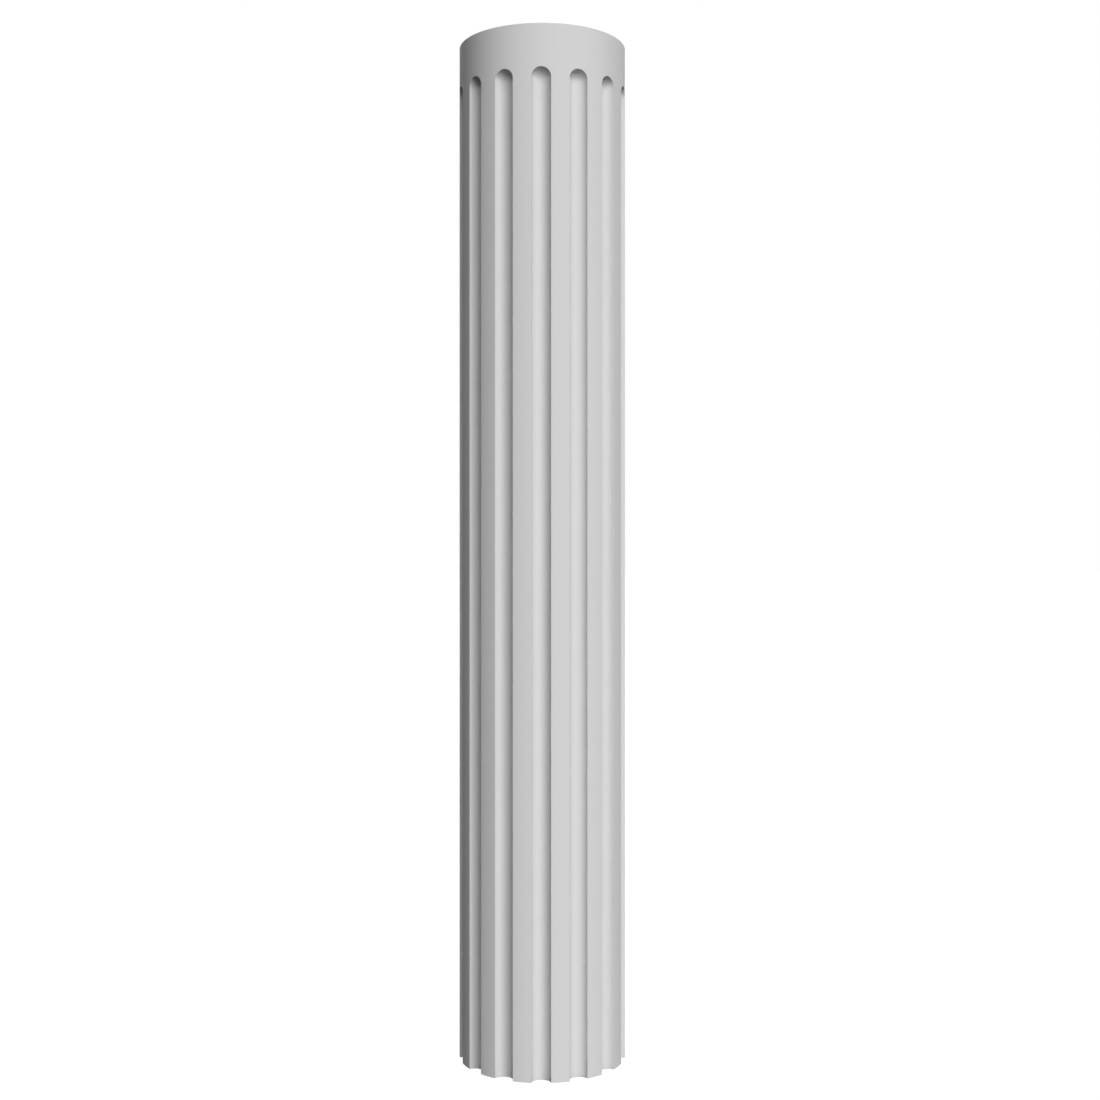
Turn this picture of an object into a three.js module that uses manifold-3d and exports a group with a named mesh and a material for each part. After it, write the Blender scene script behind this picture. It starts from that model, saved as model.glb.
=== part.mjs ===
// A round column shaft, cast or cut in one piece. Half-round flutes run up it from the
// foot and end in round heads under a plain band. The flutes are open at the foot, where
// the shaft is cut off flat, and flat lands as wide as the flutes stand between them.
// Millimetres, +Z up. The origin is the centre of the foot, and a flute faces -Y.
import * as THREE from 'three';
import { mergeVertices } from 'three/addons/utils/BufferGeometryUtils.js';
import Module from 'manifold-3d';

// Driving dimensions
const shaftDiameter = 329;
const shaftHeight = 2000;
const bandHeight = 82; // plain surface from the top of the flute heads to the top of the shaft
const fluteCount = 14;
const fluteWidth = 37.5; // straight across from arris to arris
const fluteDepth = 18; // from the round of the shaft to the bottom of the flute
const firstFluteAngle = -Math.PI / 2; // the first flute faces -Y

// Fineness of the facets
const facetsPerPitch = 12; // on the round of the shaft, for one flute and one land
const facetsPerCutter = 32; // round the whole circle that cuts a flute
const facetsPerHead = 8; // up the quarter circle of a flute's round head
const cutterRunOut = 10; // how far a cutter passes below the foot

// Stone, a light neutral grey with a matt face
const stone = new THREE.MeshStandardMaterial({ color: 0xcfcfcf, roughness: 0.85, metalness: 0 });

const shaftRadius = shaftDiameter / 2;

// The flute's section is an arc through both arrises and the bottom of the flute
const arrisDepth = shaftRadius - Math.sqrt(shaftRadius ** 2 - (fluteWidth / 2) ** 2);
const arcDepth = fluteDepth - arrisDepth;
const cutterRadius = ((fluteWidth / 2) ** 2 + arcDepth ** 2) / (2 * arcDepth);
const cutterReach = shaftRadius - fluteDepth + cutterRadius; // from the shaft's axis to the cutter's

// The round head meets the surface of the shaft in an arch, which ends at the band
const archRise = Math.sqrt(cutterRadius ** 2 - (cutterReach - shaftRadius) ** 2);
const headHeight = shaftHeight - bandHeight - archRise; // where the straight flute ends

const wasm = await Module();
wasm.setup();

function solidOf(geometry) {
  geometry.deleteAttribute('normal');
  geometry.deleteAttribute('uv');
  const merged = mergeVertices(geometry, 1e-4);
  return new wasm.Manifold(new wasm.Mesh({
    numProp: 3,
    vertProperties: new Float32Array(merged.attributes.position.array),
    triVerts: new Uint32Array(merged.index.array),
  }));
}

function geometryOf(solid) {
  const mesh = solid.getMesh();
  const geometry = new THREE.BufferGeometry();
  geometry.setAttribute('position', new THREE.BufferAttribute(mesh.vertProperties, mesh.numProp));
  geometry.setIndex(new THREE.BufferAttribute(mesh.triVerts, 1));
  return geometry;
}

// Turned about the Z axis from a profile of (radius, height) points, foot first
function turned(profile, facets) {
  return new THREE.LatheGeometry(profile, facets).rotateX(Math.PI / 2);
}

function blank() {
  const profile = [
    new THREE.Vector2(0, 0),
    new THREE.Vector2(shaftRadius, 0),
    new THREE.Vector2(shaftRadius, shaftHeight),
    new THREE.Vector2(0, shaftHeight),
  ];
  return solidOf(turned(profile, fluteCount * facetsPerPitch));
}

// A round bar with a ball end, standing where it cuts the first flute
function fluteCutter() {
  const profile = [new THREE.Vector2(0, -cutterRunOut), new THREE.Vector2(cutterRadius, -cutterRunOut)];
  for (let i = 0; i < facetsPerHead; i++) {
    const turn = (i / facetsPerHead) * (Math.PI / 2);
    profile.push(new THREE.Vector2(
      cutterRadius * Math.cos(turn),
      headHeight + cutterRadius * Math.sin(turn),
    ));
  }
  profile.push(new THREE.Vector2(0, headHeight + cutterRadius));
  return turned(profile, facetsPerCutter).translate(cutterReach, 0, 0);
}

function flutedShaft() {
  let shaft = blank();
  for (let i = 0; i < fluteCount; i++) {
    const angle = firstFluteAngle + (i / fluteCount) * Math.PI * 2;
    shaft = shaft.subtract(solidOf(fluteCutter().rotateZ(angle)));
  }
  return geometryOf(shaft);
}

const column = new THREE.Group();
const shaft = new THREE.Mesh(flutedShaft(), stone);
shaft.name = 'shaft';
column.add(shaft);

export default column;
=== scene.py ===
# A fluted column shaft in pale cast stone, on a plain studio floor. Metres, +Z up.
import math

import bpy
from mathutils import Matrix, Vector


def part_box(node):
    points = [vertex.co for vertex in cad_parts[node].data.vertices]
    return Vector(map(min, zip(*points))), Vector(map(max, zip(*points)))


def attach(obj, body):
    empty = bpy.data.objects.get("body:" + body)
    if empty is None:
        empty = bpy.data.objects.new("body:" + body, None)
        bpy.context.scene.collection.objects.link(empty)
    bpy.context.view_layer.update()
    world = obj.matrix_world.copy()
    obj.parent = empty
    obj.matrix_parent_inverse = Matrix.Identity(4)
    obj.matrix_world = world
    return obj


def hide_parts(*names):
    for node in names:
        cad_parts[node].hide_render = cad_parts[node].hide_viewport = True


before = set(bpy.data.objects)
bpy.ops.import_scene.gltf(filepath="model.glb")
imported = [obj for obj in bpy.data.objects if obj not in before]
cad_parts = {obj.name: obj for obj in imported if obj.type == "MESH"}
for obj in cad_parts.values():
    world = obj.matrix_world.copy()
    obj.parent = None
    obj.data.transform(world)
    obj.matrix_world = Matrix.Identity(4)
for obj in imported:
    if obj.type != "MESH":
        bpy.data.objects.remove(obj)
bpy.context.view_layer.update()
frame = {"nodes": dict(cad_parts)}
print("frame loaded:", ", ".join(frame["nodes"]))


class Wire:
    # A socket in a node tree. A sum on wires and numbers adds its own Math nodes.
    def __init__(self, net, socket):
        self.net = net
        self.socket = socket

    def __add__(self, other):
        return self.net.maths("ADD", self, other)

    def __radd__(self, other):
        return self.net.maths("ADD", other, self)

    def __sub__(self, other):
        return self.net.maths("SUBTRACT", self, other)

    def __rsub__(self, other):
        return self.net.maths("SUBTRACT", other, self)

    def __mul__(self, other):
        return self.net.maths("MULTIPLY", self, other)

    def __rmul__(self, other):
        return self.net.maths("MULTIPLY", other, self)

    def __truediv__(self, other):
        return self.net.maths("DIVIDE", self, other)

    def __rtruediv__(self, other):
        return self.net.maths("DIVIDE", other, self)

    def __pow__(self, other):
        return self.net.maths("POWER", self, other)

    def __gt__(self, other):
        return self.net.maths("GREATER_THAN", self, other)

    def __abs__(self):
        return self.net.maths("ABSOLUTE", self)

    def out(self, name):
        return Wire(self.net, self.socket.node.outputs[name])


class Net:
    # A node tree under construction
    def __init__(self, tree):
        self.tree = tree
        tree.nodes.clear()

    def node(self, kind, settings=None, sockets=None, out=0):
        made = self.tree.nodes.new(kind)
        for name, value in (settings or {}).items():
            setattr(made, name, value)
        for key, value in (sockets or {}).items():
            self.plug(made.inputs[key], value)
        return Wire(self, made.outputs[out]) if made.outputs else None

    def plug(self, socket, value):
        if isinstance(value, Wire):
            self.tree.links.new(value.socket, socket)
        elif isinstance(value, list):
            for wire in value:
                self.tree.links.new(wire.socket, socket)
        else:
            socket.default_value = value

    def maths(self, operation, *values):
        return self.node("ShaderNodeMath", {"operation": operation}, dict(enumerate(values)))

    def spread(self, value, start, end, low, high, curve="LINEAR"):
        # low up to start, high from end on, and a run from one to the other between them
        places = {"Value": value, "From Min": start, "From Max": end, "To Min": low, "To Max": high}
        return self.node("ShaderNodeMapRange", {"interpolation_type": curve}, places)

    def vector(self, x, y, z):
        return self.node("ShaderNodeCombineXYZ", None, {"X": x, "Y": y, "Z": z})

    def choose(self, test, ifNot, ifSo):
        places = {"Switch": test, "False": ifNot, "True": ifSo}
        return self.node("GeometryNodeSwitch", {"input_type": "VECTOR"}, places)


# Camera, on the photo's view of the shaft

cameraView = {
    "lens": 50.0,         # mm
    "sensor": 36.0,       # mm
    "picture": 1100,      # pixels across
    "distance": 3.0458,   # from the shaft's axis
    "height": 1.0055,
    "azimuth": 0.7,       # degrees round to the right, from the middle of a flute
    "axisLeft": 7.78,     # pixels from the middle of the picture to the shaft's axis
}


def makeCamera(view):
    data = bpy.data.cameras.new("camera")
    data.lens = view["lens"]
    data.sensor_width = view["sensor"]
    camera = bpy.data.objects.new("camera", data)
    bpy.context.collection.objects.link(camera)
    focalPixels = view["lens"] / view["sensor"] * view["picture"]
    aside = math.atan(view["axisLeft"] / focalPixels)
    place = Matrix.Translation((0, -view["distance"], view["height"]))
    turn = Matrix.Rotation(-aside, 4, "Z") @ Matrix.Rotation(math.pi / 2, 4, "X")
    camera.matrix_world = Matrix.Rotation(math.radians(view["azimuth"]), 4, "Z") @ place @ turn
    bpy.context.scene.camera = camera


makeCamera(cameraView)
print("camera set")


# Cast stone: even, matt and pale, with a fine sandy grain and a few pinholes; painted shade darkens the
# pinholes and the flute bottoms, and a painted highlight lightens the arrises and rims

stoneLook = {
    "colour": (0.62, 0.62, 0.62),
    "cloudSize": 0.22,       # across a patch that is a little lighter or darker
    "cloudTone": 0.012,      # how much lighter or darker, as a share
    "cloudDetail": 4,
    "grainSize": 0.0009,     # across a grain of sand
    "grainTone": 0.06,
    "grainHeight": 0.00003,
    "grainDetail": 2,
    "noiseRoughness": 0.55,  # of the clouds' and the grain's noise
    "poreGap": 0.014,        # between the pinholes inside the stone
    "poreRadius": 0.0006,
    "poreShadeTone": 0.3,         # painted shade: how much darker a pinhole is painted
    "poreDepth": 0.0005,
    "edgeHighlightTone": 0.02,        # painted highlight: how much lighter the arrises and the eased rims are painted
    "fluteShadeTone": 0.015,     # painted shade: how much darker the bottom of a flute is painted
    "roughness": 0.86,
    "roughnessSpread": 0.06,
    "edgePolish": 0.08,      # how much smoother the rubbed arrises are
    "gloss": 0.15,           # hardly any, as on dusty stone
}


def castStone(look, shaftRadius, fluteDepth):
    material = bpy.data.materials.new("castStone")
    material.use_nodes = True
    net = Net(material.node_tree)
    place = net.node("ShaderNodeTexCoord", None, None, "Object")
    axes = net.node("ShaderNodeSeparateXYZ", None, {0: place})
    edge = net.node("ShaderNodeAttribute", {"attribute_name": "edge"}, None, "Fac")

    def noise(size, detail):
        # from -1 to 1
        sockets = {
            "Vector": place,
            "Scale": 1 / size,
            "Detail": detail,
            "Roughness": look["noiseRoughness"],
        }
        return net.node("ShaderNodeTexNoise", None, sockets) * 2 - 1

    cloud = noise(look["cloudSize"], look["cloudDetail"])
    grain = noise(look["grainSize"], look["grainDetail"])
    poreReach = net.node("ShaderNodeTexVoronoi", None, {"Vector": place, "Scale": 1 / look["poreGap"]})
    poreSide = look["poreRadius"] / look["poreGap"]  # as a share of the gap, as the reach is
    # the pinholes are real pits in the relief below, and their darker tone is painted shade
    pore = net.spread(poreReach, poreSide / 2, poreSide, 1, 0, "SMOOTHSTEP")
    radius = (axes.out("X") ** 2 + axes.out("Y") ** 2) ** 0.5
    # painted shade: the colour gets darker towards the bottom of each flute, by how deep the surface lies
    fluteShade = net.spread(radius, shaftRadius - fluteDepth, shaftRadius, 1, 0, "SMOOTHSTEP")

    tone = 1 + cloud * look["cloudTone"] + grain * look["grainTone"] - pore * look["poreShadeTone"]
    # the edge term is a painted highlight along the arrises and rims, and the last term is painted shade
    # at the bottom of the flutes
    tone = tone + edge * look["edgeHighlightTone"] - fluteShade * look["fluteShadeTone"]
    colour = net.node("ShaderNodeVectorMath", {"operation": "SCALE"}, {0: look["colour"], "Scale": tone})
    roughness = look["roughness"] + cloud * look["roughnessSpread"] - edge * look["edgePolish"]
    relief = grain * look["grainHeight"] - pore * look["poreDepth"]
    bump = net.node("ShaderNodeBump", None, {"Height": relief, "Distance": 1.0})  # the relief is in metres
    surface = net.node("ShaderNodeBsdfPrincipled", None, {
        "Base Color": colour,
        "Roughness": roughness,
        "Specular IOR Level": look["gloss"],
        "Normal": bump,
    })
    net.node("ShaderNodeOutputMaterial", None, {"Surface": surface})
    return material


# The shaft, which is one sector of flute and land repeated round the axis

shaftSizes = {
    "bandHeight": 0.082,     # plain stone above the flute heads
    "headMargin": 0.018,     # of that, what the facets round a head take up
    "fluteCount": 14,
    "fluteWidth": 0.0375,    # straight across, from arris to arris
    "fluteDepth": 0.018,     # from the round of the shaft to the bottom of the flute
    "easing": 0.0004,        # how round the arrises, the top edge and the foot's edge are
    "fluteFacets": 18,       # across half a flute
    "arrisFacets": 6,        # across an arris
    "landFacets": 12,        # across half a land
    "headFacets": 18,        # up a flute's round head
    "sideFacets": 9,         # of those, the ones that run out to the middle of the land
    "heightFacets": 24,      # up the straight part
    "bandFacets": 6,         # up the plain band
    "rimFacets": 4,          # round the top edge and the foot
    "faceRings": 6,          # across the top and the foot
    "weld": 0.00001,         # points closer than this are one
}
wholeNumbers = ("Count", "Facets", "Rings")  # how the names of the sizes that are counts end


def sizeSockets(net, sizes):
    # one named input of the tree for each size
    for name, size in sizes.items():
        kind = "NodeSocketInt" if name.endswith(wholeNumbers) else "NodeSocketFloat"
        socket = net.tree.interface.new_socket(name, in_out="INPUT", socket_type=kind)
        socket.default_value = size
    entry = net.node("NodeGroupInput")
    return {name: entry.out(name) for name in sizes}


def sectorGrid(net, columns, rows):
    # columns on each side of the middle, and rows counted from the lowest
    grid = net.node("GeometryNodeMeshGrid", None, {
        "Size X": columns * 2,
        "Size Y": rows,
        "Vertices X": columns * 2 + 1,
        "Vertices Y": rows + 1,
    })
    place = net.node("ShaderNodeSeparateXYZ", None, {0: net.node("GeometryNodeInputPosition")})
    column = abs(place.out("X"))
    side = net.maths("SIGN", place.out("X"))
    row = place.out("Y") + rows / 2
    return grid, column, side, row


def placed(net, grid, position, edge):
    # The edge is stored first, while a point's column and row can still be read from its place
    settings = {"data_type": "FLOAT", "domain": "POINT"}
    marked = net.node("GeometryNodeStoreNamedAttribute", settings, {
        "Geometry": grid,
        "Name": "edge",
        "Value": edge,
    })
    return net.node("GeometryNodeSetPosition", None, {"Geometry": marked, "Position": position})


def arrisBall(net, size, form, climb):
    # The arris is rounded by a ball that touches the round of the shaft and the cutter
    reach = size["shaftRadius"] - size["easing"]
    gap = form["cutterRadius"] + size["easing"]
    across = gap * net.maths("COSINE", climb)
    sumOfSquares = form["cutterReach"] ** 2 + reach ** 2 - across * across
    angleCos = net.maths("MINIMUM", sumOfSquares / (2 * form["cutterReach"] * reach), 1)
    angle = net.maths("ARCCOSINE", angleCos)
    x = reach * net.maths("COSINE", angle)
    y = reach * net.maths("SINE", angle)
    return {
        "angle": angle,
        "x": x,
        "y": y,
        "z": gap * net.maths("SINE", climb),
        "fluteTurn": net.maths("ARCTAN2", y, form["cutterReach"] - x),
    }


def fluteFace(net, form, climb, turn, inset):
    bore = (form["cutterRadius"] + inset) * net.maths("COSINE", climb)
    return net.vector(
        form["cutterReach"] - bore * net.maths("COSINE", turn),
        bore * net.maths("SINE", turn),
        form["cutterRadius"] * net.maths("SINE", climb),
    )


def arrisFace(net, ball, climb, share, roundness):
    # round the ball, from the flute's side of it to the land's
    climbCos = net.maths("COSINE", climb)
    fluteNormal = (
        climbCos * net.maths("COSINE", ball["fluteTurn"]),
        climbCos * net.maths("SINE", ball["fluteTurn"]) * -1,
        net.maths("SINE", climb) * -1,
    )
    landNormal = (net.maths("COSINE", ball["angle"]), net.maths("SINE", ball["angle"]))
    bendCos = fluteNormal[0] * landNormal[0] + fluteNormal[1] * landNormal[1]
    bend = net.maths("ARCCOSINE", bendCos)
    landPart = net.maths("SINE", share * bend) / net.maths("SINE", bend)
    flutePart = net.maths("SINE", (1 - share) * bend) / net.maths("SINE", bend)
    return net.vector(
        ball["x"] + roundness * (fluteNormal[0] * flutePart + landNormal[0] * landPart),
        ball["y"] + roundness * (fluteNormal[1] * flutePart + landNormal[1] * landPart),
        ball["z"] + roundness * fluteNormal[2] * flutePart,
    )


def landFace(net, ball, frameAngle, frameZ, outward, radius):
    # out from the arris to the middle of the land, and round a head to a frame about it
    angle = ball["angle"] + (frameAngle - ball["angle"]) * outward
    return net.vector(
        radius * net.maths("COSINE", angle),
        radius * net.maths("SINE", angle),
        ball["z"] + (frameZ - ball["z"]) * outward,
    )


def wallGrid(net, size, form):
    # foot, eased lower edge, straight flute and land, and the flute's round head
    fluteEnd = size["fluteFacets"]
    arrisEnd = fluteEnd + size["arrisFacets"]
    landEnd = arrisEnd + size["landFacets"]
    footEnd = size["faceRings"]
    rimEnd = footEnd + size["rimFacets"]
    straightEnd = rimEnd + size["heightFacets"]
    sideEnd = straightEnd + size["sideFacets"]
    headEnd = straightEnd + size["headFacets"]
    grid, column, side, row = sectorGrid(net, landEnd, headEnd)

    # From row to row
    inward = net.spread(row, 0, footEnd, 1, 0)
    shrink = 1 - inward * inward * inward  # the rings on the foot crowd towards its edge
    rimTurn = net.spread(row, footEnd, rimEnd, 0, math.pi / 2)
    inset = size["easing"] * (1 - net.maths("SINE", rimTurn))
    footRise = size["easing"] * (1 - net.maths("COSINE", rimTurn))
    straight = form["headHeight"] - size["easing"]
    rise = footRise + net.spread(row, rimEnd, straightEnd, 0, straight, "SMOOTHERSTEP")
    climb = net.spread(row, straightEnd, headEnd, 0, form["headTurn"])
    frameAngle = net.spread(row, sideEnd, headEnd, form["halfPitch"], 0)
    frameZ = net.spread(row, straightEnd, sideEnd, 0, form["frameTop"] - form["headHeight"])
    ball = arrisBall(net, size, form, climb)

    # From column to column
    turn = net.spread(column, 0, fluteEnd, 0, ball["fluteTurn"])
    share = net.spread(column, fluteEnd, arrisEnd, 0, 1)
    outward = net.spread(column, arrisEnd, landEnd, 0, 1, "SMOOTHERSTEP")

    flute = fluteFace(net, form, climb, turn, inset)
    arris = arrisFace(net, ball, climb, share, size["easing"] - inset)
    land = landFace(net, ball, frameAngle, frameZ, outward, size["shaftRadius"] - inset)
    face = net.choose(column > arrisEnd, net.choose(column > fluteEnd, flute, arris), land)
    axes = net.node("ShaderNodeSeparateXYZ", None, {0: face})
    position = net.vector(axes.out("X") * shrink, axes.out("Y") * side * shrink, rise + axes.out("Z"))
    arrisEdge = 4 * share * (1 - share)  # all of it half way across, and none at either side
    rimEdge = net.maths("SINE", rimTurn * 2)
    return placed(net, grid, position, net.maths("MAXIMUM", arrisEdge, rimEdge))


def bandGrid(net, size, form):
    # the plain band, the eased top edge and the flat top
    bandEnd = size["bandFacets"]
    rimEnd = bandEnd + size["rimFacets"]
    topEnd = rimEnd + size["faceRings"]
    across = size["headFacets"] - size["sideFacets"]
    grid, column, side, row = sectorGrid(net, across, topEnd)
    rimFoot = size["shaftHeight"] - size["easing"]
    rise = net.spread(row, 0, bandEnd, form["frameTop"], rimFoot, "SMOOTHERSTEP")
    rimTurn = net.spread(row, bandEnd, rimEnd, 0, math.pi / 2)
    inset = size["easing"] * (1 - net.maths("COSINE", rimTurn))
    inward = net.spread(row, rimEnd, topEnd, 0, 1)
    radius = (size["shaftRadius"] - inset) * (1 - inward * inward * inward)
    angle = side * net.spread(column, 0, across, 0, form["halfPitch"])
    position = net.vector(
        radius * net.maths("COSINE", angle),
        radius * net.maths("SINE", angle),
        rise + size["easing"] * net.maths("SINE", rimTurn),
    )
    return placed(net, grid, position, net.maths("SINE", rimTurn * 2))


def shaftTree(sizes, stone):
    net = Net(bpy.data.node_groups.new("flutedShaft", "GeometryNodeTree"))
    net.tree.interface.new_socket("Geometry", in_out="OUTPUT", socket_type="NodeSocketGeometry")
    size = sizeSockets(net, sizes)

    # The flute is cut by a bar with a ball end, through both arrises and the flute's bottom
    halfWidth = size["fluteWidth"] / 2
    arrisDepth = size["shaftRadius"] - (size["shaftRadius"] ** 2 - halfWidth ** 2) ** 0.5
    arcDepth = size["fluteDepth"] - arrisDepth
    cutterRadius = (halfWidth ** 2 + arcDepth ** 2) / (2 * arcDepth)
    cutterReach = size["shaftRadius"] - size["fluteDepth"] + cutterRadius
    archRise = (cutterRadius ** 2 - (cutterReach - size["shaftRadius"]) ** 2) ** 0.5
    headHeight = size["shaftHeight"] - size["bandHeight"] - archRise
    ballGap = cutterRadius + size["easing"]
    headTurn = net.maths("ARCCOSINE", (ballGap - size["fluteDepth"]) / ballGap)
    form = {
        "cutterRadius": cutterRadius,
        "cutterReach": cutterReach,
        "headHeight": headHeight,
        "headTurn": headTurn,
        "frameTop": size["shaftHeight"] - size["bandHeight"] + size["headMargin"],
        "halfPitch": math.pi / size["fluteCount"],
    }

    parts = [wallGrid(net, size, form), bandGrid(net, size, form)]
    sector = net.node("GeometryNodeJoinGeometry", None, {0: parts})
    sector = net.node("GeometryNodeMergeByDistance", None, {"Geometry": sector, "Distance": size["weld"]})
    points = net.node("GeometryNodePoints", None, {"Count": size["fluteCount"]})
    spin = net.node("GeometryNodeInputIndex") * form["halfPitch"] * 2 - math.pi / 2  # the first faces -Y
    sectors = net.node("GeometryNodeInstanceOnPoints", None, {
        "Points": points,
        "Instance": sector,
        "Rotation": net.node("FunctionNodeEulerToRotation", None, {0: net.vector(0, 0, spin)}),
    })
    whole = net.node("GeometryNodeRealizeInstances", None, {0: sectors})
    whole = net.node("GeometryNodeMergeByDistance", None, {"Geometry": whole, "Distance": size["weld"]})
    whole = net.node("GeometryNodeSetShadeSmooth", None, {0: whole})
    whole = net.node("GeometryNodeSetMaterial", None, {"Geometry": whole, "Material": stone})
    net.node("NodeGroupOutput", None, {0: whole})
    return net.tree


def smoothShading(mesh, sizes):
    # The plain round shades as exactly round, and the top and the foot as flat
    near = sizes["weld"]
    normals = []
    for point in mesh.vertices:
        reach = math.hypot(point.co.x, point.co.y)
        if reach > sizes["shaftRadius"] - near:
            normals.append((point.co.x / reach, point.co.y / reach, 0))
        elif point.co.z > sizes["shaftHeight"] - near:
            normals.append((0, 0, 1))
        elif point.co.z < near:
            normals.append((0, 0, -1))
        else:
            normals.append(point.normal[:])
    mesh.normals_split_custom_set_from_vertices(normals)


def makeShaft(sizes, look):
    low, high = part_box("shaft")
    sizes = {"shaftRadius": (high.x - low.x) / 2, "shaftHeight": high.z - low.z, **sizes}
    stone = castStone(look, sizes["shaftRadius"], sizes["fluteDepth"])
    shaft = bpy.data.objects.new("flutedShaft", bpy.data.meshes.new("flutedShaft"))
    bpy.context.collection.objects.link(shaft)
    modifier = shaft.modifiers.new("flutes", "NODES")
    modifier.node_group = shaftTree(sizes, stone)
    for item in modifier.node_group.interface.items_tree:
        if item.in_out == "INPUT":
            modifier[item.identifier] = sizes[item.name]
    evaluated = shaft.evaluated_get(bpy.context.evaluated_depsgraph_get())
    mesh = bpy.data.meshes.new_from_object(evaluated)
    mesh.materials.clear()  # the grids bring an empty slot with them
    mesh.materials.append(stone)
    smoothShading(mesh, sizes)
    shaft.modifiers.remove(modifier)
    shaft.data = mesh
    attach(shaft, "root")
    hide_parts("shaft")
    return shaft


shaft = makeShaft(shaftSizes, stoneLook)
print("shaft made:", len(shaft.data.polygons), "faces")


# Studio: a pale floor that runs out into a white backdrop, and big soft lights far away

floorLook = {
    "across": 120.0,
    "tone": 0.03,       # what the floor throws back onto the shaft
    "glow": 0.93,       # what the camera sees of it, nearly white as the backdrop is
    "shadeTone": 0.12,  # and how much of that the shaft can shade
}
skyLook = {
    "backdrop": 1.0,    # what the camera sees
    "light": 0.005,     # what the shaft gets from it
}
softLights = {
    # degrees round to the right and up, degrees across, watts to the square metre
    "key": {"azimuth": 22.5, "elevation": 28, "spread": 54, "strength": 3.6},
    "rim": {"azimuth": 150, "elevation": 14, "spread": 16, "strength": 0.9},
    "fill": {"azimuth": -74, "elevation": 28, "spread": 30, "strength": 0.28},
    "back": {"azimuth": 198, "elevation": 32, "spread": 24, "strength": 2.6},
}


def paleFloor(look):
    material = bpy.data.materials.new("paleFloor")
    material.use_nodes = True
    net = Net(material.node_tree)
    shade = (look["shadeTone"],) * 3 + (1,)
    tone = (look["tone"],) * 3 + (1,)
    glow = net.node("ShaderNodeEmission", None, {"Strength": look["glow"]})
    shaded = net.node("ShaderNodeBsdfDiffuse", None, {"Color": shade})
    seen = net.node("ShaderNodeAddShader", None, {0: glow, 1: shaded})
    thrown = net.node("ShaderNodeBsdfDiffuse", None, {"Color": tone})
    toCamera = net.node("ShaderNodeLightPath", None, None, "Is Camera Ray")
    surface = net.node("ShaderNodeMixShader", None, {0: toCamera, 1: thrown, 2: seen})
    net.node("ShaderNodeOutputMaterial", None, {"Surface": surface})
    return material


def makeFloor(look):
    half = look["across"] / 2
    corners = [(-half, -half, 0), (half, -half, 0), (half, half, 0), (-half, half, 0)]
    mesh = bpy.data.meshes.new("floor")
    mesh.from_pydata(corners, [], [(0, 1, 2, 3)])
    mesh.materials.append(paleFloor(look))
    floor = bpy.data.objects.new("floor", mesh)
    bpy.context.collection.objects.link(floor)


def makeSky(look):
    world = bpy.data.worlds.new("studio")
    bpy.context.scene.world = world
    world.use_nodes = True
    net = Net(world.node_tree)
    thrown = net.node("ShaderNodeBackground", None, {"Color": (1, 1, 1, 1), "Strength": look["light"]})
    seen = net.node("ShaderNodeBackground", None, {"Color": (1, 1, 1, 1), "Strength": look["backdrop"]})
    toCamera = net.node("ShaderNodeLightPath", None, None, "Is Camera Ray")
    sky = net.node("ShaderNodeMixShader", None, {0: toCamera, 1: thrown, 2: seen})
    net.node("ShaderNodeOutputWorld", None, {"Surface": sky})


def makeLight(name, light):
    data = bpy.data.lights.new(name, "SUN")
    data.angle = math.radians(light["spread"])
    data.energy = light["strength"]
    lamp = bpy.data.objects.new(name, data)
    bpy.context.collection.objects.link(lamp)
    raised = Matrix.Rotation(math.pi / 2 - math.radians(light["elevation"]), 4, "X")
    lamp.matrix_world = Matrix.Rotation(math.radians(light["azimuth"]), 4, "Z") @ raised


makeFloor(floorLook)
makeSky(skyLook)
for name, light in softLights.items():
    makeLight(name, light)
bpy.context.scene.view_settings.view_transform = "Standard"
print("studio lit")
